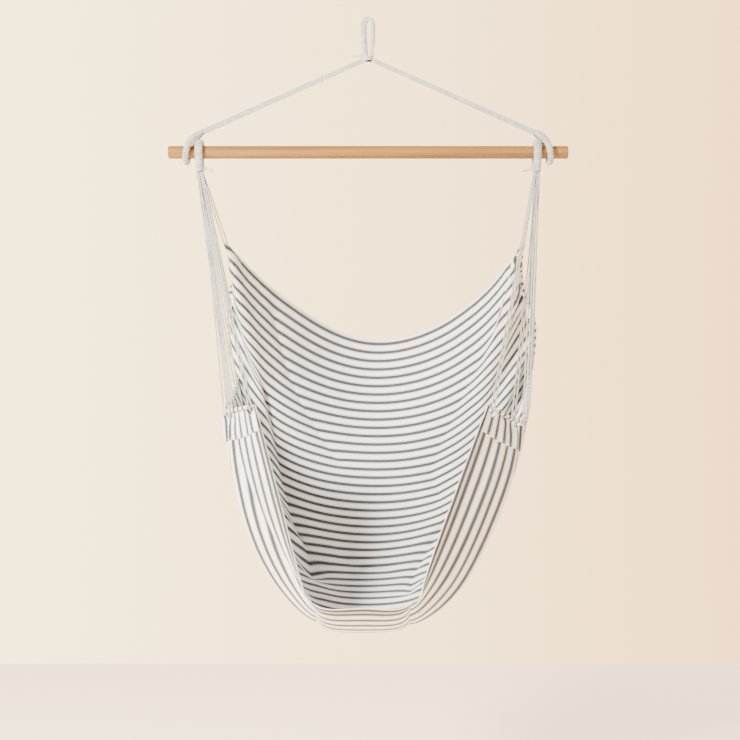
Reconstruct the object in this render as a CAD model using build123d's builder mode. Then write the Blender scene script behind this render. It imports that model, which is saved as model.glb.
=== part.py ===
"""Hanging hammock chair: a striped canvas seat slung from a wooden spreader bar by cotton cords.

Frame: millimetres, +Z up, the sitter looks towards -Y.  The origin is the point of the top eye
that rests on the hook.  Three bodies: the suspension, the bar and the seat with its clew lines.
"""
import os
from math import cos, pi, radians, sin, tan

from build123d import *

os.makedirs("parts", exist_ok=True)

# ---------------------------------------------------------------- driving dimensions
BAR_LENGTH = 1000.0
BAR_RADIUS = 16.0
BAR_Z = -324.0                 # bar axis below the hook
BAR_EDGE_FILLET = 2.5

CORD_RADIUS = 2.0              # every cotton cord is 4 mm thick
CORD_PITCH = 4.3               # spacing of cords that lie side by side

TOP_EYE_HALF_GAP = 11.0        # centreline of the top eye to its middle
TOP_EYE_RADIUS = 8.2
TOP_EYE_CORE_RADIUS = 4.8
TOP_EYE_FOOT_Z = -84.0
SUSPENSION_FOOT = (9.0, -92.0)         # x, z where the suspension cords leave the top eye
SUSPENSION_END = (420.0, -276.0)       # x, z where they enter the bar eyes

BAR_EYE_X = 455.0
BAR_EYE_RADIUS = 8.0
BAR_EYE_CORE_RADIUS = 4.2
BAR_EYE_GAP = 0.4              # running clearance round the bar

CLEW_X = 422.0
CLEW_EYE_WIDE = 10.0           # half width of the clew eye along the bar
CLEW_EYE_THICK = 7.6           # half thickness of the clew eye, square to the bar
CLEW_CORE_WIDE = 6.2
CLEW_CORE_THICK = 3.8
CLEW_EYE_GAP = 0.5
CLEW_NECK_Z = -371.0

SEIZING_THICK = 2.6
KNOT_RADIUS = 5.5
TAIL_LENGTH = 14.0

CLOTH_THICK = 2.4
HEM_THICK = 4.0
CASING_THICK = 5.0
CASING_START = 0.90            # across the cloth: 0 is the middle, 1 the side edge
CASING_END = 0.978
BACK_HEM_DEPTH = 0.014         # along the cloth: 0 is the back edge, 1 the front edge
FRONT_HEM_DEPTH = 0.014
STRIP_GAP = 0.003
CHANNEL_RADIUS = 6.0           # casing channel round the hem cord
CHANNEL_BORE = 2.4
CHANNEL_GAP = 0.8              # between the channel and the flat part of the casing
LOOP_CLEARANCE = 13.0          # notch in the casing round each loop
LEG_SLOT_RADIUS = 2.9          # running room of each leg of a clew line
LEG_SLOT_LENGTH = 90.0

# ---------------------------------------------------------------- cloth outline, by hand
# Side edges from the back corner round to the front of the arm rest.
HEM = {
    "left": [(-360, 30, -545), (-345, 110, -620), (-370, 185, -705), (-368, 225, -785),
             (-345, 190, -868), (-340, 70, -935), (-350, -80, -960), (-345, -175, -972),
             (-260, -270, -950)],
    "right": [(390, 30, -545), (385, 110, -630), (440, 185, -730), (442, 225, -810),
              (425, 190, -895), (410, 70, -950), (385, -80, -985), (365, -175, -1000),
              (275, -270, -950)],
}
BACK_EDGE = [(-360, 30, -545), (-255, 150, -650), (-155, 230, -725), (-75, 290, -772),
             (0, 330, -805), (115, 300, -790), (210, 240, -740), (295, 160, -675), (390, 30, -545)]
FRONT_EDGE = [(-260, -270, -950), (-195, -340, -1175), (-140, -385, -1380), (-85, -392, -1400),
              (-10, -394, -1404), (65, -392, -1400), (110, -385, -1380), (190, -340, -1175),
              (275, -270, -950)]
# The outermost line of the arms and the lowest line of the pouch.
BELLY = [(-350, -170, -970), (-320, -220, -1125), (-300, -235, -1220), (-265, -245, -1310),
         (-195, -255, -1405), (-105, -260, -1470), (-5, -265, -1477), (95, -260, -1470),
         (215, -255, -1405), (275, -245, -1310), (315, -235, -1220), (350, -220, -1125),
         (370, -170, -1000)]
BELLY_AT = 0.875
CENTRE = [(0, 330, -805), (0, 270, -925), (0, 205, -1040), (0, 130, -1150), (0, 50, -1260),
          (0, -35, -1360), (-5, -150, -1422), (-5, -265, -1477), (-10, -394, -1404)]
CENTRE_STEPS = [i / 8 for i in range(9)]
LOOPS_PER_SIDE = 8
LOOP_AT = [0.03, 0.23, 0.42, 0.53, 0.65, 0.77, 0.88, 0.975]      # along the hem cord
# Row and column of each doubled clew line in the square bundle at the neck.
LOOP_ROW = [1, 0, 0, 1, 2, 2, 3, 3]
LOOP_INNER = [True, True, False, False, False, True, False, True]

SIDES = {"left": -1, "right": 1}


# ---------------------------------------------------------------- helpers
def write(name, shape):
    """Label one finished piece and write its STEP file."""
    shape.label = name
    export_step(shape, f"parts/{name}.step")


def chord_steps(points):
    """Each point's share of the length along the straight runs."""
    lengths = [(Vector(*b) - Vector(*a)).length for a, b in zip(points, points[1:])]
    total = sum(lengths)
    return [sum(lengths[:i]) / total for i in range(len(points))]


def outline(points, steps=None):
    """A smooth curve through the points, each at its own step from 0 to 1."""
    return Edge.make_spline([Vector(*p) for p in points], parameters=steps or chord_steps(points))


def corner_radii(points):
    """Fillet radius of each corner: 0.45 of the shorter run over the tangent of half the turn."""
    radii = []
    for a, b, c in zip(points, points[1:], points[2:]):
        before, after = Vector(*b) - Vector(*a), Vector(*c) - Vector(*b)
        half_turn = radians(before.get_angle(after)) / 2
        radii.append(0.45 * min(before.length, after.length) / tan(half_turn))
    return radii


# ---------------------------------------------------------------- the seat cloth as one surface
hem_path = {}
for side in SIDES:
    with BuildLine() as hem_line:
        FilletPolyline(*HEM[side], radius=corner_radii(HEM[side]))
    hem_path[side] = hem_line.wire()
    print("hem cord", side, "length", round(hem_path[side].length),
          "radii", [round(r) for r in corner_radii(HEM[side])])
back_curve = outline(BACK_EDGE)
front_curve = outline(FRONT_EDGE)
belly_curve = outline(BELLY)
centre_curve = outline(CENTRE, CENTRE_STEPS)


def net_point(u, v):
    """The four edges' blended surface: u from 0 left to 1 right, v from 0 back to 1 front."""
    sides = hem_path["left"].position_at(v) * (1 - u) + hem_path["right"].position_at(v) * u
    ends = back_curve.position_at(u) * (1 - v) + front_curve.position_at(u) * v
    back = Vector(*HEM["left"][0]) * (1 - u) + Vector(*HEM["right"][0]) * u
    front = Vector(*HEM["left"][-1]) * (1 - u) + Vector(*HEM["right"][-1]) * u
    return sides + ends - back * (1 - v) - front * v


def sagged_point(u, v):
    """The blended surface, drawn to the centre line."""
    pull = max(cos((2 * u - 1) * pi / 2), 0) ** 0.8
    return net_point(u, v) + (centre_curve.position_at(v) - net_point(0.5, v)) * pull


def cloth_point(across, along):
    """A point of the cloth: across from -1 to 1, along from 0 at the back to 1 at the front."""
    u = (across + 1) / 2
    if along < BELLY_AT:
        weight = max((along - 0.35) / (BELLY_AT - 0.35), 0) ** 1.5
    else:
        weight = (1 - along) / (1 - BELLY_AT)
    shift = belly_curve.position_at(u) - sagged_point(u, BELLY_AT)
    return sagged_point(u, along) + shift * weight


def cloth_patch(across, along, columns, rows):
    """A face of the cloth between two values of across and two of along."""
    grid = []
    for i in range(columns):
        u = across[0] + (across[1] - across[0]) * i / (columns - 1)
        row = []
        for j in range(rows):
            v = along[0] + (along[1] - along[0]) * j / (rows - 1)
            row.append(cloth_point(u, v))
        grid.append(row)
    return Face.make_surface_from_array_of_points(grid, tol=1.0)


# ---------------------------------------------------------------- spreader bar
with BuildPart() as spreader_bar:
    with BuildSketch(Plane.YZ.offset(-BAR_LENGTH / 2)) as bar_section:
        with Locations((0, BAR_Z)):
            Circle(BAR_RADIUS)
    extrude(amount=BAR_LENGTH)
    fillet(spreader_bar.edges().filter_by(GeomType.CIRCLE), BAR_EDGE_FILLET)
write("spreader_bar", spreader_bar.part)


# ---------------------------------------------------------------- rope eyes
def swept_eye(path, profile, hole=None):
    """Sweep a profile along a path, or the ring between the profile and its hole."""
    with BuildPart() as eye:
        with BuildSketch(Plane(origin=path @ 0, x_dir=profile[2], z_dir=path % 0)):
            Ellipse(profile[0], profile[1])
            if hole:
                Ellipse(hole[0], hole[1], mode=Mode.SUBTRACT)
        sweep(path=path)
    return eye.part


def knot_with_tail(start, direction):
    """An overhand knot in the whipping cord, and the short tail beyond it."""
    axis = Plane(origin=start, z_dir=direction)
    with BuildPart() as knot:
        with BuildSketch(axis):
            Circle(CORD_RADIUS)
        extrude(amount=TAIL_LENGTH)
        with Locations(axis.offset(KNOT_RADIUS * 0.9).location):
            Sphere(KNOT_RADIUS)
    return knot.part


crown_z = TOP_EYE_RADIUS
with BuildLine(Plane.XZ) as top_eye_line:
    FilletPolyline((-TOP_EYE_RADIUS - 0.2, TOP_EYE_FOOT_Z), (-TOP_EYE_HALF_GAP - 1.5, -45),
                   (-TOP_EYE_HALF_GAP, crown_z), (TOP_EYE_HALF_GAP, crown_z),
                   (TOP_EYE_HALF_GAP + 1.5, -45), (TOP_EYE_RADIUS + 0.2, TOP_EYE_FOOT_Z),
                   radius=[60, 10.2, 10.2, 60])
top_eye_path = top_eye_line.wire()
write("top_eye_core", swept_eye(top_eye_path, (TOP_EYE_CORE_RADIUS, TOP_EYE_CORE_RADIUS, (0, 1, 0))))
write("top_eye_whipping", swept_eye(top_eye_path, (TOP_EYE_RADIUS, TOP_EYE_RADIUS, (0, 1, 0)),
                                    (TOP_EYE_CORE_RADIUS, TOP_EYE_CORE_RADIUS)))
with BuildPart() as top_eye_seizing:
    with BuildSketch(Plane.XY.offset(TOP_EYE_FOOT_Z - 10.5)):
        Ellipse(2 * TOP_EYE_RADIUS + SEIZING_THICK, TOP_EYE_RADIUS + SEIZING_THICK)
    extrude(amount=9.5)
write("top_eye_seizing", top_eye_seizing.part)
write("top_eye_knot", knot_with_tail((-20.5, 0, TOP_EYE_FOOT_Z + 6), (-1, 0, 0.35)))

clew_radius = BAR_RADIUS + CLEW_EYE_GAP + CLEW_EYE_THICK
bar_eye_radius = BAR_RADIUS + BAR_EYE_GAP + BAR_EYE_RADIUS
bar_eye_low = BAR_Z - bar_eye_radius

for side, sign in SIDES.items():
    # Bar eye: carries the bar, leans in to the end of the suspension cords.
    bar_eye_points = [
        (sign * SUSPENSION_END[0], -8.2, SUSPENSION_END[1]),
        (sign * (BAR_EYE_X - 6), -bar_eye_radius, SUSPENSION_END[1] - 24),
        (sign * BAR_EYE_X, -bar_eye_radius, bar_eye_low),
        (sign * BAR_EYE_X, bar_eye_radius, bar_eye_low),
        (sign * (BAR_EYE_X - 6), bar_eye_radius, SUSPENSION_END[1] - 24),
        (sign * SUSPENSION_END[0], 8.2, SUSPENSION_END[1]),
    ]
    bar_eye_turn = bar_eye_radius - 3
    with BuildLine() as bar_eye_line:
        FilletPolyline(*bar_eye_points, radius=[16, bar_eye_turn, bar_eye_turn, 16])
    bar_eye_path = bar_eye_line.wire()
    round_core = (BAR_EYE_CORE_RADIUS, BAR_EYE_CORE_RADIUS)
    write(f"bar_eye_core_{side}", swept_eye(bar_eye_path, (*round_core, (0, 1, 0))))
    write(f"bar_eye_whipping_{side}",
          swept_eye(bar_eye_path, (BAR_EYE_RADIUS, BAR_EYE_RADIUS, (0, 1, 0)), round_core))

    # Clew eye: the seat's sixteen cords, whipped, riding over the bar.
    leg = CLEW_EYE_THICK + 0.3
    clew_points = [
        (sign * CLEW_X, -leg, CLEW_NECK_Z),
        (sign * CLEW_X, -clew_radius, BAR_Z - 6),
        (sign * CLEW_X, -clew_radius, BAR_Z + clew_radius),
        (sign * CLEW_X, clew_radius, BAR_Z + clew_radius),
        (sign * CLEW_X, clew_radius, BAR_Z - 6),
        (sign * CLEW_X, leg, CLEW_NECK_Z),
    ]
    clew_turn = clew_radius - 0.5
    with BuildLine() as clew_line:
        FilletPolyline(*clew_points, radius=[25, clew_turn, clew_turn, 25])
    clew_path = clew_line.wire()
    flat_core = (CLEW_CORE_WIDE, CLEW_CORE_THICK)
    write(f"clew_eye_core_{side}", swept_eye(clew_path, (*flat_core, (1, 0, 0))))
    write(f"clew_eye_whipping_{side}",
          swept_eye(clew_path, (CLEW_EYE_WIDE, CLEW_EYE_THICK, (1, 0, 0)), flat_core))
    write(f"clew_knot_{side}",
          knot_with_tail((sign * (CLEW_X - 12.5), -10, CLEW_NECK_Z + 8), (-sign, 0, -0.15)))

    # Suspension: four cords side by side from the top eye to the bar eye.
    foot = Vector(sign * SUSPENSION_FOOT[0], 0, SUSPENSION_FOOT[1])
    end = Vector(sign * SUSPENSION_END[0], 0, SUSPENSION_END[1])
    run = (end - foot).normalized()
    stack = Vector(0, 1, 0).cross(run)
    with BuildPart() as suspension:
        for number in range(4):
            offset = stack * (CORD_PITCH * (number - 1.5))
            with BuildSketch(Plane(origin=foot + run * 17 + offset, z_dir=run)):
                Circle(CORD_RADIUS)
            extrude(amount=(end - foot).length - 25)
    write(f"suspension_cords_{side}", suspension.part)

# ---------------------------------------------------------------- hem cords and clew lines
for side in SIDES:
    with BuildPart() as hem_cord:
        with BuildSketch(Plane(origin=hem_path[side] @ 0, z_dir=hem_path[side] % 0)):
            Circle(CORD_RADIUS)
        sweep(path=hem_path[side])
    write(f"hem_cord_{side}", hem_cord.part)


def clew_route(side, number):
    """The route of one doubled clew line: down, round the hem cord and back up."""
    sign = SIDES[side]
    held = hem_path[side].position_at(LOOP_AT[number])
    along_hem = hem_path[side].tangent_at(LOOP_AT[number])
    row_y = (1.5 - LOOP_ROW[number]) * CORD_PITCH
    column = 0.5 if LOOP_INNER[number] else -1.5
    first = Vector(sign * (CLEW_X - column * CORD_PITCH), row_y, CLEW_NECK_Z - 1.2)
    second = Vector(sign * (CLEW_X - (column + 1) * CORD_PITCH), row_y, CLEW_NECK_Z - 1.2)
    down = (held - (first + second) / 2).normalized()
    across = down.cross(along_hem).normalized()
    if across.dot(second - first) < 0:
        across = -across
    bend = 2 * CORD_RADIUS + 1.6
    hem_angle = radians(down.get_angle(along_hem))
    low = held + down * (CORD_RADIUS / sin(hem_angle) + CORD_RADIUS + 1.6)
    return [first, low - across * bend, low + across * bend, second]


for side in SIDES:
    for number in range(LOOPS_PER_SIDE):
        route = clew_route(side, number)
        with BuildLine() as loop_line:
            FilletPolyline(*route, radius=2 * CORD_RADIUS + 0.3)
        loop_path = loop_line.wire()
        with BuildPart() as clew_line:
            with BuildSketch(Plane(origin=loop_path @ 0, z_dir=loop_path % 0)):
                Circle(CORD_RADIUS)
            sweep(path=loop_path)
        print("clew line", side, number + 1, "length", round(loop_path.length),
              "volume ratio", round(clew_line.part.volume / (pi * CORD_RADIUS**2 * loop_path.length), 3))
        write(f"clew_line_{side}_{number + 1}", clew_line.part)


# ---------------------------------------------------------------- cloth, hems and casings
def cloth_piece(face, thickness):
    """A face of the cloth given its thickness, half on each side."""
    with BuildPart() as piece:
        thicken(face, amount=thickness / 2, both=True)
    return piece.part


def loop_legs(side):
    """The straight legs of a side's clew lines, each as a plane at its foot that looks up it."""
    legs = []
    for number in range(LOOPS_PER_SIDE):
        first, near_foot, far_foot, second = clew_route(side, number)
        legs.append(Plane(origin=near_foot, z_dir=first - near_foot))
        legs.append(Plane(origin=far_foot, z_dir=second - far_foot))
    return legs


def cut_leg_slots(side):
    """Cut the running room of the clew lines from the part being built."""
    with Locations(*loop_legs(side)):
        Cylinder(LEG_SLOT_RADIUS, LEG_SLOT_LENGTH, align=(Align.CENTER, Align.CENTER, Align.MIN),
                 mode=Mode.SUBTRACT)


inner = (STRIP_GAP - CASING_START, CASING_START - STRIP_GAP)
middle_rows = (BACK_HEM_DEPTH + STRIP_GAP, 1 - FRONT_HEM_DEPTH - STRIP_GAP)
back_rows = (0, BACK_HEM_DEPTH)
front_rows = (1 - FRONT_HEM_DEPTH, 1)
write("seat_cloth", cloth_piece(cloth_patch(inner, middle_rows, 17, 17), CLOTH_THICK))
write("back_hem", cloth_piece(cloth_patch(inner, back_rows, 17, 3), HEM_THICK))
write("front_hem", cloth_piece(cloth_patch(inner, front_rows, 17, 3), HEM_THICK))

for side, sign in SIDES.items():
    # Side casing: the turned-over edge of the cloth, notched at every clew line.
    strip = cloth_patch((sign * CASING_START, sign * CASING_END), (0, 1), 3, 29)
    with BuildPart() as casing:
        thicken(strip, amount=CASING_THICK / 2, both=True)
        with Locations(*[hem_path[side].position_at(at) for at in LOOP_AT]):
            Sphere(LOOP_CLEARANCE, mode=Mode.SUBTRACT)
        cut_leg_slots(side)
        with BuildSketch(Plane(origin=hem_path[side] @ 0, z_dir=hem_path[side] % 0)):
            Circle(CHANNEL_RADIUS + CHANNEL_GAP)
        sweep(path=hem_path[side], mode=Mode.SUBTRACT)
    write(f"side_casing_{side}", casing.solids().sort_by(SortBy.VOLUME)[-1])

    # Hem tongues: the parts of the casing, between the clew lines, that the hem cord runs through.
    slot_share = LOOP_CLEARANCE / hem_path[side].length
    tongues = []
    for after, before in zip(LOOP_AT, LOOP_AT[1:]):
        span = hem_path[side].trim(after + slot_share, before - slot_share)
        with BuildPart() as tongue:
            with BuildSketch(Plane(origin=span @ 0, z_dir=span % 0)):
                Circle(CHANNEL_RADIUS)
                Circle(CHANNEL_BORE, mode=Mode.SUBTRACT)
            sweep(path=span)
            cut_leg_slots(side)
        tongues += tongue.part.solids()
    write(f"hem_tongues_{side}", Compound(children=tongues))
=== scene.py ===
"""Looks of the hanging hammock chair: striped canvas, laid cotton cords, whipped eyes and wood.

Everything is in metres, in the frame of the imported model: +Z up, the sitter looks towards -Y,
and the origin is the point of the top eye that rests on the hook.
"""
import math

import bpy
import numpy as np
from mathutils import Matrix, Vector


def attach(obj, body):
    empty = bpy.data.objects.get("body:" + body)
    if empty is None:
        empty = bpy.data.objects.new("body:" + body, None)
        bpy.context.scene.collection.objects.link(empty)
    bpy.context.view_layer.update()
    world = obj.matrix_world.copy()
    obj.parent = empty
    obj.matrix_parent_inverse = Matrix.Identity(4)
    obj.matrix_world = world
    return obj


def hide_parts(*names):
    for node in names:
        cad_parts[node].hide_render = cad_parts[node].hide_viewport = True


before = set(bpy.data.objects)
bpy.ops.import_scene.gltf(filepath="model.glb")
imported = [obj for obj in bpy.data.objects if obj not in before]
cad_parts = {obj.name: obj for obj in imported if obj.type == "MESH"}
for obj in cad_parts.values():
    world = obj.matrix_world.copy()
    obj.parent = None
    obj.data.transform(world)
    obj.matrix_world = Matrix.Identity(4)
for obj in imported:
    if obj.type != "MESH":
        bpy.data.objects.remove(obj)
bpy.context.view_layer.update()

MM = 0.001
SIDES = {"left": -1, "right": 1}

# ---------------------------------------------------------------- driving dimensions, as in the CAD
BAR_Z = -0.324
CORD_RADIUS = 0.002
CORD_PITCH = 0.0043
SUSPENSION_FOOT = (0.009, -0.092)
SUSPENSION_END = (0.420, -0.276)
CLEW_X = 0.422
CLEW_NECK_Z = -0.371
CLOTH_WIDTH = 1.200
CLOTH_LENGTH = 1.083
STRIPE_PITCH = 0.025
WIDE_LINE_HALF = 0.0041        # half width of a stripe's middle line
FINE_LINE_HALF = 0.0005        # half width of the fine line on each side of it
FINE_LINE_AWAY = 0.0058        # middle line to fine line
CASING_WIDTH = 0.060
HEM_WIDTH = 0.014
CLOTH_THICK = 0.0012
FLAP_THICK = 0.0011            # the turned-over edges
FLAP_LIFT = -1.25 * CLOTH_THICK    # they lie on the outer face
HEM_ROLL_RADIUS = 0.0050
NOTCH_HALF = 0.0125            # notch in the casing at each loop: half length and depth
NOTCH_DEEP = 0.013
KNOT_CORD_RADIUS = 0.0019
CLEW_EYE_RADIUS = 0.0241
BAR_EYE_X = 0.455

HEM = {
    "left": [(-360, 30, -545), (-345, 110, -620), (-370, 185, -705), (-368, 225, -785),
             (-345, 190, -868), (-340, 70, -935), (-350, -80, -960), (-345, -175, -972),
             (-260, -270, -950)],
    "right": [(390, 30, -545), (385, 110, -630), (440, 185, -730), (442, 225, -810),
              (425, 190, -895), (410, 70, -950), (385, -80, -985), (365, -175, -1000),
              (275, -270, -950)],
}
BACK_EDGE = [(-360, 30, -545), (-255, 150, -650), (-155, 230, -725), (-75, 290, -772),
             (0, 330, -805), (115, 300, -790), (210, 240, -740), (295, 160, -675), (390, 30, -545)]
FRONT_EDGE = [(-260, -270, -950), (-203, -330, -1150), (-150, -378, -1345), (-139, -386, -1385),
              (-115, -390, -1395), (-10, -394, -1398), (90, -390, -1395), (112, -386, -1385),
              (124, -378, -1345), (196, -330, -1150), (275, -270, -950)]
BELLY = [(-350, -170, -970), (-320, -220, -1125), (-300, -235, -1220), (-265, -245, -1310),
         (-195, -255, -1405), (-105, -260, -1470), (-5, -265, -1477), (95, -260, -1470),
         (215, -255, -1405), (275, -245, -1310), (315, -235, -1220), (350, -220, -1125),
         (370, -170, -1000)]
BELLY_AT = 0.875
CENTRE = [(0, 330, -805), (0, 270, -925), (0, 205, -1040), (0, 130, -1150), (0, 50, -1260),
          (0, -35, -1360), (-5, -150, -1422), (-5, -265, -1477), (-10, -394, -1404)]
LOOP_AT = [0.03, 0.23, 0.42, 0.53, 0.65, 0.77, 0.88, 0.975]
LOOP_ROW = [1, 0, 0, 1, 2, 2, 3, 3]
LOOP_INNER = [True, True, False, False, False, True, False, True]


# ---------------------------------------------------------------- small helpers
def unit(v):
    """The vectors of v at length one."""
    v = np.asarray(v, float)
    return v / np.maximum(np.linalg.norm(v, axis=-1, keepdims=True), 1e-12)


def run_along(line):
    """The line's length up to each of its points."""
    return np.r_[0, np.cumsum(np.linalg.norm(np.diff(line, axis=0), axis=1))]


def sampled(at, stations, values):
    """The rows of values, which are known at the stations, read at other places."""
    return np.stack([np.interp(at, stations, column) for column in np.asarray(values).T], -1)


def smooth_curve(points, steps=None):
    """A function from 0..1 to points of a smooth curve through the given points."""
    p = np.asarray(points, float) * MM
    if steps is None:
        steps = run_along(p)
        steps = steps / steps[-1]
    t = np.asarray(steps, float)
    slope = np.gradient(p, t, axis=0)

    def at(s):
        s = np.clip(np.atleast_1d(s), 0, 1)
        i = np.clip(np.searchsorted(t, s, side="right") - 1, 0, len(t) - 2)
        h = (t[i + 1] - t[i])[:, None]
        x = ((s - t[i])[:, None]) / h
        return ((2 * x**3 - 3 * x**2 + 1) * p[i] + (x**3 - 2 * x**2 + x) * h * slope[i]
                + (3 * x**2 - 2 * x**3) * p[i + 1] + (x**3 - x**2) * h * slope[i + 1])
    return at


def nurbs_line(points, name="route"):
    """The points along the NURBS curve of order 3 that has the given points for its controls."""
    data = bpy.data.curves.new(name, "CURVE")
    data.dimensions = "3D"
    data.resolution_u = 24
    spline = data.splines.new("NURBS")
    spline.points.add(len(points) - 1)
    for control, p in zip(spline.points, points):
        control.co = (*p, 1)
    spline.order_u = 3
    spline.use_endpoint_u = True
    carrier = bpy.data.objects.new(name, data)
    mesh = bpy.data.meshes.new_from_object(carrier)
    line = np.empty(len(mesh.vertices) * 3)
    mesh.vertices.foreach_get("co", line)
    bpy.data.objects.remove(carrier)
    bpy.data.curves.remove(data)
    bpy.data.meshes.remove(mesh)
    return line.reshape(-1, 3)


def evenly(line, step):
    """The line's points spaced evenly, about step apart, and the length at each."""
    run = run_along(line)
    count = max(int(run[-1] / step) + 1, 4)
    s = np.linspace(0, run[-1], count)
    return sampled(s, run, line), s


def frames_along(line, start_side):
    """Two side vectors at each point of a line, carried along without twist."""
    tangent = unit(np.gradient(line, axis=0))
    side = np.empty_like(line)
    current = np.asarray(start_side, float)
    for i, t in enumerate(tangent):
        current = current - t * current.dot(t)
        current = current / np.linalg.norm(current)
        side[i] = current
    return side, np.cross(tangent, side)


def rings_round(line, around, reach, start_side=(0.31, 0.77, 0.55)):
    """Rings of points round a line, reach away from it, and each point's outward direction."""
    side, up = frames_along(line, start_side)
    angle = np.arange(around) * 2 * math.pi / around
    way = side[:, None] * np.cos(angle)[None, :, None] + up[:, None] * np.sin(angle)[None, :, None]
    return line[:, None] + np.asarray(reach)[..., None] * way, way


def placed(name, data):
    """A new object in the scene."""
    obj = bpy.data.objects.new(name, data)
    bpy.context.scene.collection.objects.link(obj)
    return obj


def new_object(name, vertices, faces, material, body, groove_shade=None):
    """A smooth-shaded mesh object that rides on a body; the optional groove value is how deep in painted
    shade each vertex is.
    """
    mesh = bpy.data.meshes.new(name)
    mesh.from_pydata(np.asarray(vertices).tolist(), [], faces)
    mesh.polygons.foreach_set("use_smooth", [True] * len(mesh.polygons))
    mesh.materials.append(material)
    mesh.update()
    if groove_shade is not None:
        depth = mesh.attributes.new("groove_shade", "FLOAT", "POINT")
        depth.data.foreach_set("value", np.ravel(groove_shade))
    obj = placed(name, mesh)
    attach(obj, body)
    return obj


def tube_faces(rings, around):
    """Quads between rings of around vertices each, with the two ends closed."""
    i = np.arange(rings - 1)[:, None] * around
    j = np.arange(around)[None, :]
    k = (j + 1) % around
    quads = np.stack([i + j, i + k, i + around + k, i + around + j], -1).reshape(-1, 4)
    return [*quads.tolist(), list(range(around))[::-1],
            list(range((rings - 1) * around, rings * around))]


def write_cloth_uv(obj, flat):
    """The UV map "cloth", from each vertex's place on the flat cloth in metres."""
    corner = np.empty(len(obj.data.loops), int)
    obj.data.loops.foreach_get("vertex_index", corner)
    layer = obj.data.uv_layers.new(name="cloth")
    layer.data.foreach_set("uv", flat.reshape(-1, 2)[corner].ravel())


# ---------------------------------------------------------------- materials
class Nodes:
    """Short names for building the nodes of a material or a world."""

    def __init__(self, owner):
        owner.use_nodes = True
        self.owner = owner
        self.tree = owner.node_tree
        self.shader = self.tree.nodes.get("Principled BSDF")

    def add(self, kind, inputs=None, **settings):
        """A new node with its settings and its inputs: a number, a colour or another node's output."""
        node = self.tree.nodes.new(kind)
        for key, value in settings.items():
            setattr(node, key, value)
        for key, value in (inputs or {}).items():
            self.feed(node.inputs[key], value)
        return node

    def feed(self, socket, value):
        """Link an output to the socket, or set its value."""
        if isinstance(value, bpy.types.NodeSocket):
            self.tree.links.new(value, socket)
        else:
            socket.default_value = value

    def math(self, operation, a, b=0.0, c=0.0, clamp=False):
        """One arithmetic node's output."""
        node = self.add("ShaderNodeMath", operation=operation, use_clamp=clamp)
        for socket, value in zip(node.inputs, (a, b, c)):
            self.feed(socket, value)
        return node.outputs[0]

    def mix(self, factor, a, b):
        """A colour mix's output."""
        node = self.add("ShaderNodeMix", data_type="RGBA")
        self.feed(node.inputs[0], factor)
        self.feed(node.inputs[6], a)
        self.feed(node.inputs[7], b)
        return node.outputs[2]

    def noise(self, vector, scale, detail=3.0, rough=0.5):
        """A noise texture's value."""
        node = self.add("ShaderNodeTexNoise", {"Vector": vector, "Scale": scale, "Detail": detail,
                                               "Roughness": rough})
        return node.outputs[0]

    def bump(self, height, distance, strength=1.0):
        """Bump from a height, in metres, sent to the shader."""
        node = self.add("ShaderNodeBump", {"Height": height, "Distance": distance,
                                           "Strength": strength})
        self.feed(self.shader.inputs["Normal"], node.outputs[0])

    def set(self, **values):
        """Shader inputs by name, with _ for a space."""
        for key, value in values.items():
            self.feed(self.shader.inputs[key.replace("_", " ")], value)


def soft_line(n, value, centre, half_width, edge):
    """1 within half_width of the centre, falling to 0 over edge."""
    distance = n.math("ABSOLUTE", n.math("SUBTRACT", value, centre))
    return n.math("SUBTRACT", 1.0, n.math("DIVIDE", n.math("SUBTRACT", distance, half_width), edge,
                                          clamp=True), clamp=True)


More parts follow.
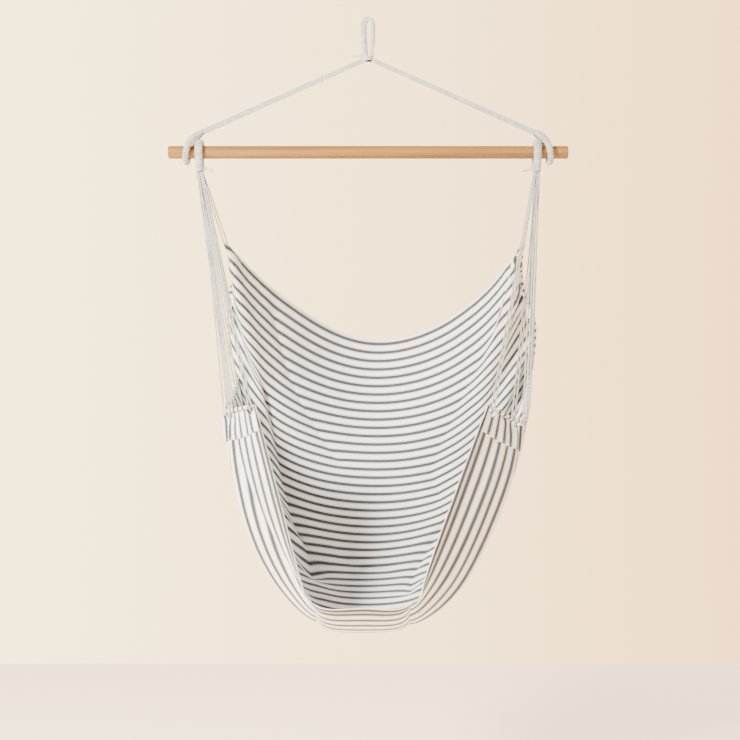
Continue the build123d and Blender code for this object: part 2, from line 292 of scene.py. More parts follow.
def canvas_material(name, stripe_shift):
    """Cotton ticking: cream ground, dark bands across it made of one wide and two fine lines."""
    n = Nodes(bpy.data.materials.new(name))
    uv = n.add("ShaderNodeUVMap", uv_map="cloth").outputs[0]
    split = n.add("ShaderNodeSeparateXYZ", {"Vector": uv})
    across, along = split.outputs[0], split.outputs[1]
    waver = n.math("MULTIPLY", n.math("SUBTRACT", n.noise(uv, 9.0, 2.0), 0.5), 0.0010)
    place = n.math("ADD", n.math("ADD", along, waver), stripe_shift)
    cell = n.math("MULTIPLY", n.math("FRACT", n.math("DIVIDE", place, STRIPE_PITCH)), STRIPE_PITCH)
    middle = STRIPE_PITCH / 2
    wide = soft_line(n, cell, middle, WIDE_LINE_HALF, 0.0005)
    near = soft_line(n, cell, middle - FINE_LINE_AWAY, FINE_LINE_HALF, 0.0003)
    far = soft_line(n, cell, middle + FINE_LINE_AWAY, FINE_LINE_HALF, 0.0003)
    fine_lines = n.math("MULTIPLY", n.math("MAXIMUM", near, far), 0.8)
    band = n.math("MAXIMUM", wide, fine_lines)
    # Plain weave: warp and weft threads about 0.55 mm apart.
    thread = 2 * math.pi / 0.00055
    warp = n.math("SINE", n.math("MULTIPLY", across, thread))
    weft = n.math("SINE", n.math("MULTIPLY", along, thread))
    weave = n.math("MULTIPLY", warp, weft)
    slub = n.noise(n.add("ShaderNodeMapping", {"Vector": uv, "Scale": (60, 900, 1)}).outputs[0],
                   1.0, 2.0)
    cloud = n.noise(uv, 5.0, 3.0)
    cream = n.mix(cloud, (0.84, 0.815, 0.765, 1), (0.92, 0.90, 0.865, 1))
    cream = n.mix(n.math("MULTIPLY", slub, 0.22), cream, (0.66, 0.62, 0.56, 1))
    dark = n.mix(slub, (0.008, 0.008, 0.011, 1), (0.022, 0.022, 0.028, 1))
    cover = n.math("MULTIPLY", band, n.math("ADD", 0.955, n.math("MULTIPLY", weave, 0.035)))
    colour = n.mix(cover, cream, dark)
    n.set(Base_Color=colour, Roughness=0.86, Sheen_Weight=0.25, Sheen_Roughness=0.5,
          Specular_IOR_Level=0.25)
    height = n.math("ADD", n.math("MULTIPLY", weave, 0.5), n.math("MULTIPLY", slub, 0.8))
    n.bump(height, 0.00012, 0.7)
    return n.owner


def cord_material(name, light, shade, fibre):
    """Cotton cord: off-white with fine fibres, and painted shade that darkens it between the strands and
    wraps.
    """
    n = Nodes(bpy.data.materials.new(name))
    place = n.add("ShaderNodeTexCoord").outputs["Object"]
    cloud = n.noise(place, 90.0, 3.0)
    fine = n.noise(place, fibre, 4.0, 0.65)
    colour = n.mix(n.math("MULTIPLY", fine, 0.35), n.mix(cloud, shade, light), shade)
    # Painted shade: the cord darkens to near black by each vertex's groove amount, between strands and
    # wraps.
    groove_shade = n.add("ShaderNodeAttribute", attribute_name="groove_shade").outputs["Fac"]
    colour = n.mix(n.math("POWER", groove_shade, 1.3), colour, (0.035, 0.030, 0.024, 1))
    n.set(Base_Color=colour, Roughness=0.92,
          Sheen_Weight=0.3, Sheen_Roughness=0.6, Specular_IOR_Level=0.2)
    n.bump(fine, 0.0005, 0.5)
    return n.owner


def wood_material():
    """Oiled hardwood: long grain along the bar, honey to red brown."""
    n = Nodes(bpy.data.materials.new("oiled_wood"))
    place = n.add("ShaderNodeTexCoord").outputs["Object"]
    stretched = n.add("ShaderNodeMapping", {"Vector": place, "Scale": (1.6, 60, 60)}).outputs[0]
    drift = n.noise(stretched, 1.0, 4.0, 0.6)
    fine_place = n.add("ShaderNodeMapping", {"Vector": place, "Scale": (9, 420, 420)}).outputs[0]
    fine = n.noise(fine_place, 1.0, 3.0, 0.6)
    ramp = n.add("ShaderNodeValToRGB", {"Fac": drift})
    ramp.color_ramp.elements[0].position = 0.30
    ramp.color_ramp.elements[0].color = (0.12, 0.048, 0.004, 1)
    ramp.color_ramp.elements[1].position = 0.72
    ramp.color_ramp.elements[1].color = (0.30, 0.140, 0.012, 1)
    middle = ramp.color_ramp.elements.new(0.5)
    middle.color = (0.215, 0.092, 0.007, 1)
    streak = n.math("MULTIPLY", n.math("POWER", fine, 2.0), 0.55)
    colour = n.mix(streak, ramp.outputs[0], (0.10, 0.034, 0.004, 1))
    n.set(Base_Color=colour, Roughness=n.math("ADD", 0.36, n.math("MULTIPLY", fine, 0.2)),
          Coat_Weight=0.15, Coat_Roughness=0.35)
    n.bump(fine, 0.0004, 0.35)
    return n.owner


def floor_material():
    """A quiet pale surface that glows a little, so that it stays pale all over."""
    n = Nodes(bpy.data.materials.new("pale_floor"))
    place = n.add("ShaderNodeTexCoord").outputs["Object"]
    cloud = n.noise(place, 0.6, 2.0)
    colour = n.mix(cloud, (0.92, 0.72, 0.48, 1), (0.92 * 0.97, 0.72 * 0.97, 0.48 * 0.97, 1))
    n.set(Base_Color=colour, Roughness=0.9, Emission_Color=(1.0, 0.70, 0.44, 1), Emission_Strength=1.7)
    return n.owner


canvas = canvas_material("ticking_canvas", 0.0)
canvas_turned = canvas_material("ticking_canvas_turned", 0.009)
cotton = cord_material("cotton_cord", (0.78, 0.76, 0.70, 1), (0.24, 0.22, 0.18, 1), 2600.0)
wound = cord_material("wound_cotton", (0.84, 0.82, 0.77, 1), (0.26, 0.24, 0.20, 1), 2200.0)
wood = wood_material()
thread_material = cord_material("sewing_thread", (0.84, 0.80, 0.72, 1), (0.66, 0.62, 0.54, 1), 3000.0)


# ---------------------------------------------------------------- cords
LAY = 0.013                    # one full turn of a cord's three strands


def laid_cord(name, line, body, material=cotton, radius=CORD_RADIUS, phase=0.0, lay=LAY,
              replaced=()):
    """A three-strand cord along a line, its strands turning as they run."""
    around = 12
    centre, s = evenly(line, lay / 9)
    turn = 2 * math.pi * s / lay + phase
    angle = np.arange(around) * 2 * math.pi / around
    lobes = np.abs(np.cos(1.5 * (angle[None, :] - turn[:, None])))
    ring, _ = rings_round(centre, around, radius * (0.72 + 0.30 * lobes**0.7))
    # Painted shade between the three strands: 0 on each strand's crest, 1 in the hollow between strands.
    cord = new_object(name, ring.reshape(-1, 3), tube_faces(len(centre), around), material, body,
                      groove_shade=1 - lobes**0.7)
    if replaced:
        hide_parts(*replaced)
    return cord


def coil_line(line, wide, thick, pitch, flat_side):
    """A cord wound round another line on an oval: its points and their outward directions.

    wide and thick are the oval's half sizes, each one number or a list spread along the line.
    """
    core, s = evenly(line, 0.0004)
    side, up = frames_along(core, flat_side)
    at = np.linspace(0, s[-1], int(s[-1] / pitch * 22))
    angle = 2 * math.pi * at / pitch
    wide, thick = np.atleast_1d(wide), np.atleast_1d(thick)
    wide = np.interp(at / s[-1], np.linspace(0, 1, len(wide)), wide)
    thick = np.interp(at / s[-1], np.linspace(0, 1, len(thick)), thick)
    outward = (unit(sampled(at, s, side)) * (np.cos(angle) * wide)[:, None]
               + unit(sampled(at, s, up)) * (np.sin(angle) * thick)[:, None])
    return sampled(at, s, core) + outward, unit(outward)


def wound_tube(name, line, radius, body, around, replaced, outward=None):
    """A round cord along a line; where it lies on something, its sides get painted shade."""
    ring, way = rings_round(line, around, radius)
    # Painted shade on each wrap's sides and inner face, where it lies against its neighbours and the
    # core; 0 on its crest.
    groove_shade = None
    if outward is not None:
        groove_shade = 1 - np.clip((way * outward[:, None]).sum(-1), 0, 1)
    tube = new_object(name, ring.reshape(-1, 3), tube_faces(len(line), around), wound, body,
                      groove_shade=groove_shade)
    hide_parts(*replaced)


def whipping(name, line, wide, thick, flat_side, body, replaced):
    """Cotton cord wound tightly round an eye."""
    coil, outward = coil_line(line, np.asarray(wide) - CORD_RADIUS, np.asarray(thick) - CORD_RADIUS,
                              2 * CORD_RADIUS, flat_side)
    wound_tube(name, coil, CORD_RADIUS, body, 10, replaced, outward)


def tuft(name, start, direction, body, length, spread, seed):
    """The frayed end of a cord: a spray of fine fibres."""
    rng = np.random.default_rng(seed)
    direction = unit(direction)
    vertices, faces = [], []
    for number in range(26):
        lean = rng.normal(0, spread, 3)
        end = np.asarray(start) + direction * length * rng.uniform(0.7, 1.1) + lean * length
        knee = (np.asarray(start) * 0.5 + end * 0.5) + rng.normal(0, 0.10, 3) * length
        line = np.array([start, knee, end], float)
        t = np.linspace(0, 1, 6)[:, None]
        line = (1 - t)**2 * line[0] + 2 * t * (1 - t) * line[1] + t**2 * line[2]
        ring, _ = rings_round(line, 4, np.linspace(0.0009, 0.0003, 6)[:, None], (0.3, 0.8, 0.5))
        base = len(vertices)
        vertices += ring.reshape(-1, 3).tolist()
        faces += [[v + base for v in face] for face in tube_faces(6, 4)]
    new_object(name, vertices, faces, wound, body)


def knot(name, centre, direction, body, replaced, seed):
    """An overhand knot in a cord with a short tail that ends in a frayed tuft."""
    centre, direction = np.asarray(centre, float), unit(direction)
    t = np.linspace(0, 2 * math.pi, 90)
    trefoil = np.stack([np.sin(t) + 2 * np.sin(2 * t), np.cos(t) - 2 * np.cos(2 * t),
                        -1.2 * np.sin(3 * t)], -1) * 0.00125
    a = unit(np.cross(direction, (0.2, 0.3, 1.0)))
    b = np.cross(direction, a)
    line = centre + trefoil[:, :1] * a + trefoil[:, 1:2] * b + trefoil[:, 2:] * direction
    wound_tube(name, line, KNOT_CORD_RADIUS, body, 8, replaced)
    tail = np.linspace(0, 1, 14)[:, None]
    droop = np.array([0, 0, -0.003]) * tail**2
    laid_cord(name + "_tail", centre + direction * 0.012 * tail + droop, body,
              material=wound, radius=KNOT_CORD_RADIUS, lay=0.010)
    tuft(name + "_tuft", centre + direction * 0.0115 + droop[-1], direction, body, 0.009, 0.22, seed)


# ---------------------------------------------------------------- the seat cloth's shape
hem_line = {side: nurbs_line([tuple(c * MM for c in p) for p in HEM[side]]) for side in SIDES}


def along_line(line, share):
    """Points at shares 0..1 of the line's length."""
    run = run_along(line)
    return sampled(np.atleast_1d(share) * run[-1], run, line)


back_at = smooth_curve(BACK_EDGE)
front_at = smooth_curve(FRONT_EDGE)
belly_at = smooth_curve(BELLY)
centre_at = smooth_curve(CENTRE, [i / 8 for i in range(9)])


def blended(u, v):
    """The surface blended from the four edges: u left to right, v back to front, both 0..1."""
    left, right = along_line(hem_line["left"], v), along_line(hem_line["right"], v)
    back, front = back_at(u), front_at(u)
    uu, vv = u[None, :, None], v[:, None, None]
    corners = ((1 - uu) * (1 - vv) * left[0] + uu * (1 - vv) * right[0]
               + (1 - uu) * vv * left[-1] + uu * vv * right[-1])
    return ((1 - uu) * left[:, None] + uu * right[:, None] + (1 - vv) * back[None]
            + vv * front[None] - corners)


def first_shape(nu, nv):
    """The cloth before it settles: the edges' surface drawn to the centre and belly lines."""
    u, v = np.linspace(0, 1, nu), np.linspace(0, 1, nv)
    shape = blended(u, v)
    pull = np.clip(np.cos((2 * u - 1) * math.pi / 2), 0, 1)**0.8
    shape = shape + (centre_at(v) - shape[:, nu // 2])[:, None] * pull[None, :, None]
    row = int(round(BELLY_AT * (nv - 1)))
    weight = np.where(v < BELLY_AT, np.clip((v - 0.35) / (BELLY_AT - 0.35), 0, 1)**1.5,
                      np.clip((1 - v) / (1 - BELLY_AT), 0, 1))
    return shape + (belly_at(u) - shape[row])[None] * weight[:, None, None]


def settle(shape, steps, guides, gravity=9.81, bend=0.06, damp=0.98, pace=1 / 500):
    """The cloth hung by its guides: threads keep their length and the weave resists shear."""
    p = shape.copy()
    rows, columns = p.shape[:2]
    du, dv = CLOTH_WIDTH / (columns - 1), CLOTH_LENGTH / (rows - 1)
    diagonal = math.hypot(du, dv)
    before = p.copy()

    def tie(a, b, rest, share):
        m, n = min(a.shape[0], b.shape[0]), min(a.shape[1], b.shape[1])
        a, b = a[:m, :n], b[:m, :n]
        gap = b - a
        size = np.sqrt((gap * gap).sum(-1, keepdims=True)) + 1e-9
        move = 0.5 * share * (size - rest) / size * gap
        a += move
        b -= move

    def pair(axis, step, start, reach):
        first = [slice(None)] * 2
        second = [slice(None)] * 2
        first[axis] = slice(start, -reach, step)
        second[axis] = slice(start + reach, None, step)
        return p[tuple(first)], p[tuple(second)]

    for _ in range(steps):
        speed = (p - before) * damp
        before = p.copy()
        p = p + speed
        p[..., 2] -= gravity * pace * pace
        for axis, rest in ((1, du), (0, dv)):
            for start in (0, 1):
                tie(*pair(axis, 2, start, 1), rest, 1.0)
            for start in range(4):
                tie(*pair(axis, 4, start, 2), 2 * rest, bend)
        for row in (0, 1):
            for column in (0, 1):
                tie(p[row:-1:2, column:-1:2], p[row + 1::2, column + 1::2], diagonal, 0.3)
                tie(p[row:-1:2, column + 1::2], p[row + 1::2, column:-1:2], diagonal, 0.3)
        for where, target, strength in guides:
            p[where] += strength * (target - p[where])
    return p


def resample(grid, rows, columns):
    """The grid at a new resolution, by cubic interpolation both ways."""
    for axis, count in ((0, rows), (1, columns)):
        grid = np.moveaxis(grid, axis, 0)
        size = grid.shape[0]
        t = np.linspace(0, size - 1, count)
        i = np.clip(t.astype(int), 0, size - 2)
        x = (t - i)[:, None, None]
        at = [grid[np.clip(i + k, 0, size - 1)] for k in (-1, 0, 1, 2)]
        grid = (at[1] + 0.5 * x * (at[2] - at[0] + x * (2 * at[0] - 5 * at[1] + 4 * at[2] - at[3]
                + x * (3 * (at[1] - at[2]) + at[3] - at[0]))))
        grid = np.moveaxis(grid, 0, axis)
    return grid


def cloth_guides(rows, columns, firm):
    """What holds the cloth: the clew lines' loops, and lines that it is known to follow."""
    u, v = np.linspace(0, 1, columns), np.linspace(0, 1, rows)
    guides = []
    for column, side in ((0, "left"), (-1, "right")):
        if firm:
            held = np.round(np.array(LOOP_AT) * (rows - 1)).astype(int)
            guides.append(((held, column), along_line(hem_line[side], LOOP_AT), 1.0))
            guides.append(((slice(None), column), along_line(hem_line[side], v), 0.10))
        else:
            guides.append(((slice(None), column), along_line(hem_line[side], v), 0.5))
    guides.append(((0, slice(None)), back_at(u), 0.15))
    guides.append(((-1, slice(None)), front_at(u), 0.9))
    row = int(round(BELLY_AT * (rows - 1)))
    guides.append(((row, slice(None)), belly_at(u), 0.15))
    middle = slice(int(columns * 0.42), int(columns * 0.58))
    start = first_shape(columns, rows)
    guides.append(((slice(None), middle), start[:, middle], 0.08))
    return guides


coarse = settle(first_shape(49, 45), 500, cloth_guides(45, 49, False))
fine_rows, fine_columns = 89, 97
fine = settle(resample(coarse, fine_rows, fine_columns), 700,
              cloth_guides(fine_rows, fine_columns, True), bend=0.10)
ROWS, COLUMNS = 265, 289
u_of = np.linspace(-CLOTH_WIDTH / 2, CLOTH_WIDTH / 2, COLUMNS)
v_of = np.linspace(0, CLOTH_LENGTH, ROWS)
across, along = np.meshgrid(u_of, v_of)


def softened(grid, passes):
    """The grid with its small waves smoothed away, its border kept."""
    grid = grid.copy()
    for _ in range(passes):
        grid[1:-1, 1:-1] += 0.20 * (grid[:-2, 1:-1] + grid[2:, 1:-1] + grid[1:-1, :-2]
                                    + grid[1:-1, 2:] - 4 * grid[1:-1, 1:-1])
        grid[0, 1:-1] += 0.25 * (grid[0, :-2] + grid[0, 2:] - 2 * grid[0, 1:-1])
    return grid


def distance_to(route):
    """Distance on the flat cloth from each point to a route of (across, along) points."""
    best = np.full(across.shape, 9.0)
    for (a, b), (c, d) in zip(route, route[1:]):
        reach = math.hypot(c - a, d - b)
        share = np.clip(((across - a) * (c - a) + (along - b) * (d - b)) / reach**2, 0, 1)
        best = np.minimum(best, np.hypot(across - a - share * (c - a), along - b - share * (d - b)))
    return best


def wave(period, seed, rough=0.35):
    """A wandering wave along the cloth, from -1 to 1."""
    rng = np.random.default_rng(seed)
    t = np.linspace(0, CLOTH_LENGTH, 40)
    phase = np.interp(v_of, t, np.cumsum(rng.normal(1, rough, 40)) * (2 * math.pi * t[1] / period))
    size = np.interp(v_of, t, rng.uniform(0.35, 1.0, 40))
    return (np.sin(phase) * size)[:, None]


# Route on the flat cloth, depth and reach of each long crease; a crease stands out from the sitter.
CREASES = [
    ([(-0.330, 0.28), (-0.300, 0.34), (-0.275, 0.42), (-0.250, 0.50), (-0.205, 0.59), (-0.165, 0.67),
      (-0.135, 0.72)], 0.042, 0.050),
    ([(-0.360, 0.06), (-0.250, 0.185), (-0.175, 0.258), (-0.085, 0.36)], 0.0095, 0.026),
    ([(0.350, 0.17), (0.262, 0.246), (0.200, 0.33), (0.165, 0.41), (0.19, 0.50)], 0.0110, 0.045),
    ([(0.200, 0.60), (0.150, 0.66), (0.112, 0.73), (0.098, 0.80)], 0.0120, 0.022),
    ([(-0.070, 0.66), (0.000, 0.70), (0.050, 0.71)], 0.0035, 0.018),
    ([(0.300, 0.50), (0.240, 0.62), (0.190, 0.72)], 0.0100, 0.040),
    ([(-0.590, 0.955), (-0.450, 0.985), (-0.300, 1.020), (-0.150, 1.045)], -0.0110, 0.020),
    ([(0.540, 1.00), (0.430, 1.01), (0.300, 1.00), (0.180, 0.99), (0.110, 0.99)], 0.0055, 0.020),
    ([(-0.135, 1.08), (-0.118, 1.02), (-0.100, 0.94)], -0.0080, 0.014),
    ([(0.112, 1.08), (0.105, 1.02), (0.090, 0.94)], -0.0080, 0.014),
]
calm = np.clip(1.25 - np.abs(across) / 0.50, 0, 1) * np.clip(1.9 - along / 0.50, 0, 1)
cloth = resample(fine, ROWS, COLUMNS)
smooth = resample(softened(fine, 160), ROWS, COLUMNS)
cloth = cloth + (smooth - cloth) * np.clip(calm * 1.6, 0, 1)[..., None]
cloth = softened(cloth, 12)


def cloth_normal():
    """Unit normals of the cloth, towards the sitter."""
    return unit(np.cross(np.gradient(cloth, axis=1), np.gradient(cloth, axis=0)))


normal = cloth_normal()
inward = 1.0 if normal[ROWS // 3, COLUMNS // 2, 1] < 0 else -1.0
push = np.zeros_like(across)
for route, depth, reach in CREASES:
    push += depth * np.exp(-distance_to(route) / reach)
edge = CLOTH_WIDTH / 2 - np.abs(across)
for sign, seed, size in ((-1, 5, 0.0075), (1, 9, 0.0120)):
    # The gathered side edges ruffle, most of all behind the arm rests.
    here = (across * sign > 0) * np.exp(-edge / 0.042) * np.clip(edge / 0.008, 0, 1)
    ruffle = wave(0.046, seed) + 0.7 * wave(0.085, seed + 1)
    push += size * here * ruffle * np.clip(1.25 - along, 0.12, 1)
cloth = cloth - normal * (inward * push * np.clip(edge / 0.012, 0, 1))[..., None]
# The side seams draw the cloth in a little.
seam = (np.exp(-((edge - CASING_WIDTH) / 0.0025)**2)
        + np.exp(-((CLOTH_LENGTH - along - HEM_WIDTH) / 0.002)**2))
cloth = cloth + normal * (inward * 0.0007 * seam)[..., None]
normal = cloth_normal() * inward


def cloth_object(name, rows, columns, lift, material, thick, keep=None):
    """A piece cut from the cloth's grid, lifted off it along its normal and given a thickness."""
    points = (cloth + normal * lift)[rows, columns]
    m, n = points.shape[:2]
    us, vs = np.meshgrid(u_of[columns], v_of[rows])
    index = np.arange(m * n).reshape(m, n)
    quads = np.stack([index[:-1, :-1], index[:-1, 1:], index[1:, 1:], index[1:, :-1]], -1)
    quads = quads.reshape(-1, 4)
    if keep is not None:
        kept = keep(us, vs).ravel()
        quads = quads[kept[quads].all(1)]
    used = np.zeros(m * n, bool)
    used[quads.ravel()] = True
    renumber = np.cumsum(used) - 1
    obj = new_object(name, points.reshape(-1, 3)[used], renumber[quads].tolist(), material, "seat")
    write_cloth_uv(obj, np.stack([us.ravel()[used], vs.ravel()[used]], -1))
    solid = obj.modifiers.new("thickness", "SOLIDIFY")
    solid.thickness = thick
    solid.offset = 0
    return obj


def beside_loops(us, vs):
    """False inside the rounded notches that the clew lines pass through."""
    edge_gap = CLOTH_WIDTH / 2 - np.abs(us)
    kept = np.ones(us.shape, bool)
    for share in LOOP_AT:
        kept &= ((vs - share * CLOTH_LENGTH) / NOTCH_HALF)**2 + (edge_gap / NOTCH_DEEP)**2 > 1
    return kept


def stitches(name, path, way, length=0.0034, gap=0.0012):
    """Short threads end to end along a path, lying just proud of the cloth."""
    line, s = evenly(path, 0.0008)
    lift = sampled(np.linspace(0, 1, len(line)), np.linspace(0, 1, len(way)), way)
    vertices, faces = [], []
    for start in np.arange(0.004, s[-1] - length - 0.004, length + gap):
        share = np.linspace(start, start + length, 4)
        points = sampled(share, s, line)
        out = unit(sampled(share, s, lift))
        points = points + out * (0.00035 * np.array([-0.6, 1, 1, -0.6]))[:, None]
        side = np.cross(unit(points[-1] - points[0]), out)
        base = len(vertices)
        for k, width in enumerate((0.4, 1.0, 1.0, 0.4)):
            half = 0.00045 * width
            vertices += [points[k] + side[k] * half, points[k] + out[k] * half,
                         points[k] - side[k] * half, points[k] - out[k] * half]
        faces += [[v + base for v in face] for face in tube_faces(4, 4)]
    new_object(name, vertices, faces, thread_material, "seat")


def seam_threads(name, where):
    """The stitches of a seam along one row or column of the grid, on both faces of the cloth."""
    for face, depth in (("inner", 0.62), ("outer", -1.85)):
        path = cloth[where] + normal[where] * depth * CLOTH_THICK
        stitches(f"{name}_{face}", path, normal[where] * np.sign(depth))


seat = cloth_object("canvas_seat", slice(None), slice(None), 0.0, canvas, CLOTH_THICK, beside_loops)
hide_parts("seat_cloth", "back_hem", "front_hem", "side_casing_left", "side_casing_right")

casing_columns = int(round(CASING_WIDTH / CLOTH_WIDTH * (COLUMNS - 1)))
hem_rows = int(round(HEM_WIDTH / CLOTH_LENGTH * (ROWS - 1)))
for side, columns in (("left", slice(0, casing_columns + 1)),
                      ("right", slice(-casing_columns - 1, None))):
    cloth_object(f"casing_flap_{side}", slice(None), columns, FLAP_LIFT, canvas_turned, FLAP_THICK,
                 beside_loops)
between_casings = slice(casing_columns // 2, -casing_columns // 2)
for end, rows in (("back", slice(0, hem_rows + 1)), ("front", slice(-hem_rows - 1, None))):
    cloth_object(f"{end}_hem_flap", rows, between_casings, FLAP_LIFT, canvas_turned, FLAP_THICK)
for side, column in (("left", casing_columns - 1), ("right", -casing_columns)):
    seam_threads(f"casing_seam_{side}", (slice(None), column))
for end, row in (("back", hem_rows - 1), ("front", -hem_rows)):
    seam_threads(f"{end}_seam", row)


# ---------------------------------------------------------------- clew lines, eyes and hem cords
def hem_roll(side, after, before, number):
    """The rolled edge of the casing between two loops, with the hem cord inside it."""
    line = hem_line[side]
    run_length = run_along(line)[-1]
    first = after + (0.92 * NOTCH_HALF / run_length if after > 0 else 0.002)
    last = before - (0.92 * NOTCH_HALF / run_length if before < 1 else 0.002)
    share = np.linspace(first, last, max(int((last - first) * run_length / 0.0016), 8))
    centre = along_line(line, share)
    rng = np.random.default_rng(40 + number)
    around = 20
    angle = np.arange(around) * 2 * math.pi / around
    s = share * run_length
    gather = np.sin(2 * math.pi * s / 0.017 + rng.uniform(0, 6)) * rng.uniform(0.5, 1.0)
    pleat = 0.10 * gather[:, None] * np.cos(angle * 2 + number)[None, :]
    radius = HEM_ROLL_RADIUS * (1 + pleat + 0.05 * np.sin(s / 0.004 + number)[:, None])
    ring, _ = rings_round(centre, around, radius)
    roll = new_object(f"hem_roll_{side}_{number + 1}", ring.reshape(-1, 3),
                      tube_faces(len(centre), around), canvas_turned, "seat")
    write_cloth_uv(roll, np.stack(np.broadcast_arrays(angle[None, :] * 0.0037,
                                                      share[:, None] * CLOTH_LENGTH), -1))
    return roll


def hem_cord(side):
    """The cord in the casing, and the rolled edge round it between the loops."""
    laid_cord(f"hem_rope_{side}", hem_line[side], "seat", replaced=[f"hem_cord_{side}"])
    run_length = run_along(hem_line[side])[-1]
    stops = [0, *LOOP_AT, 1]
    rolls = [hem_roll(side, a, b, number) for number, (a, b) in enumerate(zip(stops, stops[1:]))
             if (b - a) * run_length > 3.2 * NOTCH_HALF]
    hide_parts(f"hem_tongues_{side}")


def clew_rope(side, sign, number, share):
    """A doubled cord from the clew eye, round the hem cord and back."""
    line = hem_line[side]
    run = run_along(line)
    held = along_line(line, share)[0]
    hem_way = sampled(share * run[-1], run, unit(np.gradient(line, axis=0)))
    row_y = (1.5 - LOOP_ROW[number]) * CORD_PITCH
    column = 0.5 if LOOP_INNER[number] else -1.5
    first, second = (np.array([sign * (CLEW_X - place * CORD_PITCH), row_y, CLEW_NECK_Z])
                     for place in (column, column + 1))
    down = unit(held - (first + second) / 2)
    across_loop = unit(np.cross(down, hem_way))
    if across_loop.dot(second - first) < 0:
        across_loop = -across_loop
    low = held + down * (2.6 * CORD_RADIUS)
    spread = across_loop * (2.2 * CORD_RADIUS)
    near = held - down * (12 * CORD_RADIUS)
    route = [first, near - spread * 0.9, low - spread, low + spread, near + spread * 0.9, second]
    laid_cord(f"clew_rope_{side}_{number + 1}", nurbs_line(route), "seat",
              phase=number, replaced=[f"clew_line_{side}_{number + 1}"])


def eye_line(sign, front_half, crown=()):
    """An eye's line: its front half, its crown and the same half again behind."""
    back_half = [(x, -y, z) for x, y, z in reversed(front_half)]
    return nurbs_line([(sign * x, y, z) for x, y, z in (*front_half, *crown, *back_half)])


def suspension_run(side, sign):
    """The four cords from the top eye to a bar eye, stacked in the plane of the run."""
    foot = np.array([sign * SUSPENSION_FOOT[0], 0, SUSPENSION_FOOT[1]])
    end = np.array([sign * SUSPENSION_END[0], 0, SUSPENSION_END[1]])
    run_way = unit(end - foot)
    stack = np.cross((0, 1, 0), run_way)
    for number in range(4):
        offset = stack * (CORD_PITCH * (number - 1.5))
        line = np.linspace(foot + run_way * 0.004 + offset * 0.6,
                           end - run_way * 0.002 + offset * 0.8, 40)
        laid_cord(f"suspension_rope_{side}_{number + 1}", line, "suspension",
                  phase=number * 1.7, replaced=[f"suspension_cords_{side}"] if number == 0 else ())


CLEW_EYE = [(CLEW_X, -0.0079, CLEW_NECK_Z), (CLEW_X, -0.0205, BAR_Z - 0.020),
            (CLEW_X, -CLEW_EYE_RADIUS, BAR_Z + 0.006),
            (CLEW_X, -CLEW_EYE_RADIUS * 0.75, BAR_Z + CLEW_EYE_RADIUS * 0.9)]
CLEW_CROWN = [(CLEW_X, 0, BAR_Z + CLEW_EYE_RADIUS * 1.12)]
BAR_EYE = [(SUSPENSION_END[0], -0.0082, SUSPENSION_END[1]), (0.438, -0.020, -0.288),
           (0.450, -0.0262, -0.310), (BAR_EYE_X, -0.0252, -0.336), (BAR_EYE_X, -0.014, -0.3485)]
for side, sign in SIDES.items():
    hem_cord(side)
    for number, share in enumerate(LOOP_AT):
        clew_rope(side, sign, number, share)
    whipping(f"clew_whipping_{side}", eye_line(sign, CLEW_EYE, CLEW_CROWN), 0.0100, 0.0074, (1, 0, 0),
             "seat", [f"clew_eye_whipping_{side}"])
    knot(f"clew_knot_wound_{side}", (sign * (CLEW_X - 0.014), -0.010, CLEW_NECK_Z + 0.006),
         (-sign, -0.1, -0.2), "seat", [f"clew_knot_{side}"], 3 + sign)
    whipping(f"bar_eye_wound_{side}", eye_line(sign, BAR_EYE), 0.0080, 0.0080, (0, 1, 0),
             "suspension", [f"bar_eye_whipping_{side}"])
    suspension_run(side, sign)

top_points = [(-0.0062, 0, -0.086), (-0.0086, 0, -0.066), (-0.0116, 0, -0.040), (-0.0118, 0, -0.010),
              (-0.0100, 0, 0.0045), (0, 0, 0.0118), (0.0100, 0, 0.0045), (0.0116, 0, -0.010),
              (0.0122, 0, -0.040), (0.0090, 0, -0.066), (0.0062, 0, -0.086)]
top_half = [0.0064, 0.0078, 0.0084, 0.0084, 0.0082, 0.0078, 0.0070, 0.0064, 0.0060, 0.0056, 0.0052]
whipping("top_eye_wound", nurbs_line(top_points), top_half, top_half, (0, 1, 0), "suspension",
         ["top_eye_whipping"])
collar = np.array([(0, 0, -0.0955), (0, 0, -0.0835)])
whipping("top_eye_wraps", collar, [0.0105, 0.0140], [0.0085, 0.0095], (1, 0, 0), "suspension",
         ["top_eye_seizing"])
knot("top_eye_knot_wound", (-0.0190, -0.004, -0.083), (-1, -0.15, 0.12), "suspension",
     ["top_eye_knot"], 11)

# ---------------------------------------------------------------- CAD pieces that stay
for node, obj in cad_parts.items():
    finish = wood if node == "spreader_bar" else cotton
    obj.data.materials.clear()
    obj.data.materials.append(finish)


# ---------------------------------------------------------------- stage, lights and camera
FLOOR_Z = -1.92
FLOOR_HALF_WIDTH = 12
FLOOR_FRONT, FLOOR_BACK = -12, 1.5
AIM = (0, 0, -0.9)
AMBIENT = ((1.0, 0.955, 0.90, 1), 1.1)       # colour and strength of the light from all round
# Backdrop colours, seen only by the camera: painted light falloff, brighter on the left where the light
# comes from, darker and warmer on the right.
BACKDROP_LEFT = (5.6, 4.3, 2.20, 1)
BACKDROP_RIGHT = (3.9, 2.35, 1.15, 1)
BACKDROP_TURN = 0.25                         # sideways direction at which each of them is reached


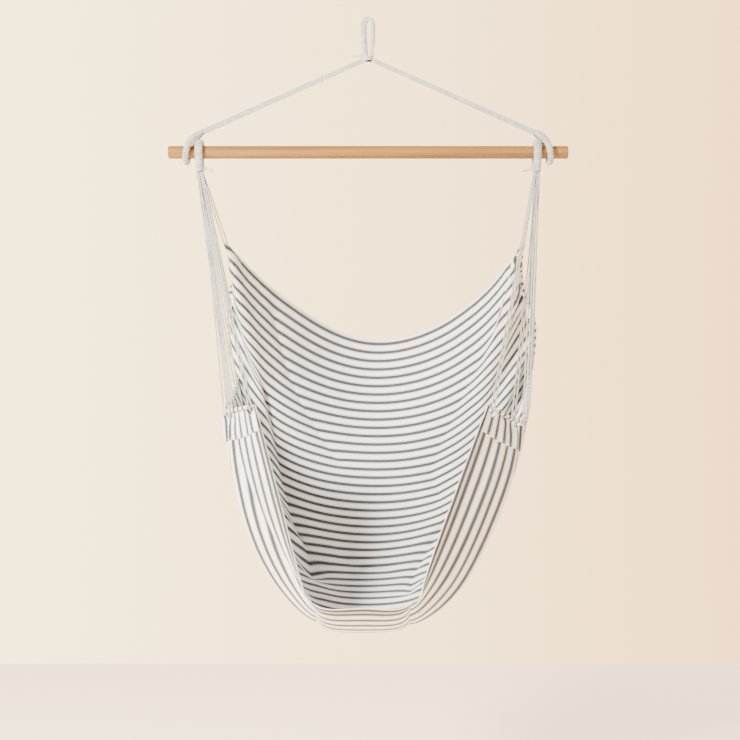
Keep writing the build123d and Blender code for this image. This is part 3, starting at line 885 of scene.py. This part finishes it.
def stage_floor():
    """The floor under the chair."""
    mesh = bpy.data.meshes.new("floor")
    mesh.from_pydata([(-FLOOR_HALF_WIDTH, FLOOR_FRONT, FLOOR_Z), (FLOOR_HALF_WIDTH, FLOOR_FRONT, FLOOR_Z),
                      (FLOOR_HALF_WIDTH, FLOOR_BACK, FLOOR_Z), (-FLOOR_HALF_WIDTH, FLOOR_BACK, FLOOR_Z)],
                     [], [(0, 1, 2, 3)])
    mesh.materials.append(floor_material())
    placed("floor", mesh)


def area_light(name, place, size, power, colour):
    """A square softbox pointed at the chair."""
    light = bpy.data.lights.new(name, "AREA")
    light.size = size
    light.energy = power
    light.color = colour
    obj = placed(name, light)
    obj.location = place
    obj.rotation_euler = (Vector(AIM) - Vector(place)).to_track_quat("-Z", "Y").to_euler()


def room_world():
    """The room: soft ambient light, and a pale backdrop with painted light falloff: bright on the left,
    darker and warmer towards +X.
    """
    n = Nodes(bpy.data.worlds.new("studio"))
    ambient = n.tree.nodes["Background"]
    n.feed(ambient.inputs["Color"], AMBIENT[0])
    n.feed(ambient.inputs["Strength"], AMBIENT[1])
    direction = n.add("ShaderNodeTexCoord").outputs["Generated"]
    sideways = n.add("ShaderNodeSeparateXYZ", {"Vector": direction}).outputs[0]
    share = n.add("ShaderNodeMapRange", {"Value": sideways, "From Min": -BACKDROP_TURN,
                                         "From Max": BACKDROP_TURN}).outputs[0]
    backdrop = n.add("ShaderNodeBackground", {"Color": n.mix(share, BACKDROP_LEFT, BACKDROP_RIGHT)})
    seen = n.add("ShaderNodeLightPath").outputs["Is Camera Ray"]
    either = n.add("ShaderNodeMixShader", {0: seen, 1: ambient.outputs[0], 2: backdrop.outputs[0]})
    n.feed(n.tree.nodes["World Output"].inputs[0], either.outputs[0])
    return n.owner


stage_floor()
area_light("key", (-2.3, -2.7, 0.7), 0.9, 640, (1.0, 0.975, 0.94))
area_light("fill", (2.0, -4.4, -0.7), 3.0, 90, (1.0, 0.95, 0.90))
area_light("rim", (1.6, 2.6, 0.9), 1.6, 90, (1.0, 0.97, 0.93))
bpy.context.scene.world = room_world()

camera_data = bpy.data.cameras.new("camera")
camera_data.sensor_width = 36.0
camera_data.lens = 68.0
camera = placed("camera", camera_data)
camera.location = (0.0045, -3.5, -0.869)
camera.rotation_euler = (math.pi / 2, 0, 0)
bpy.context.scene.camera = camera
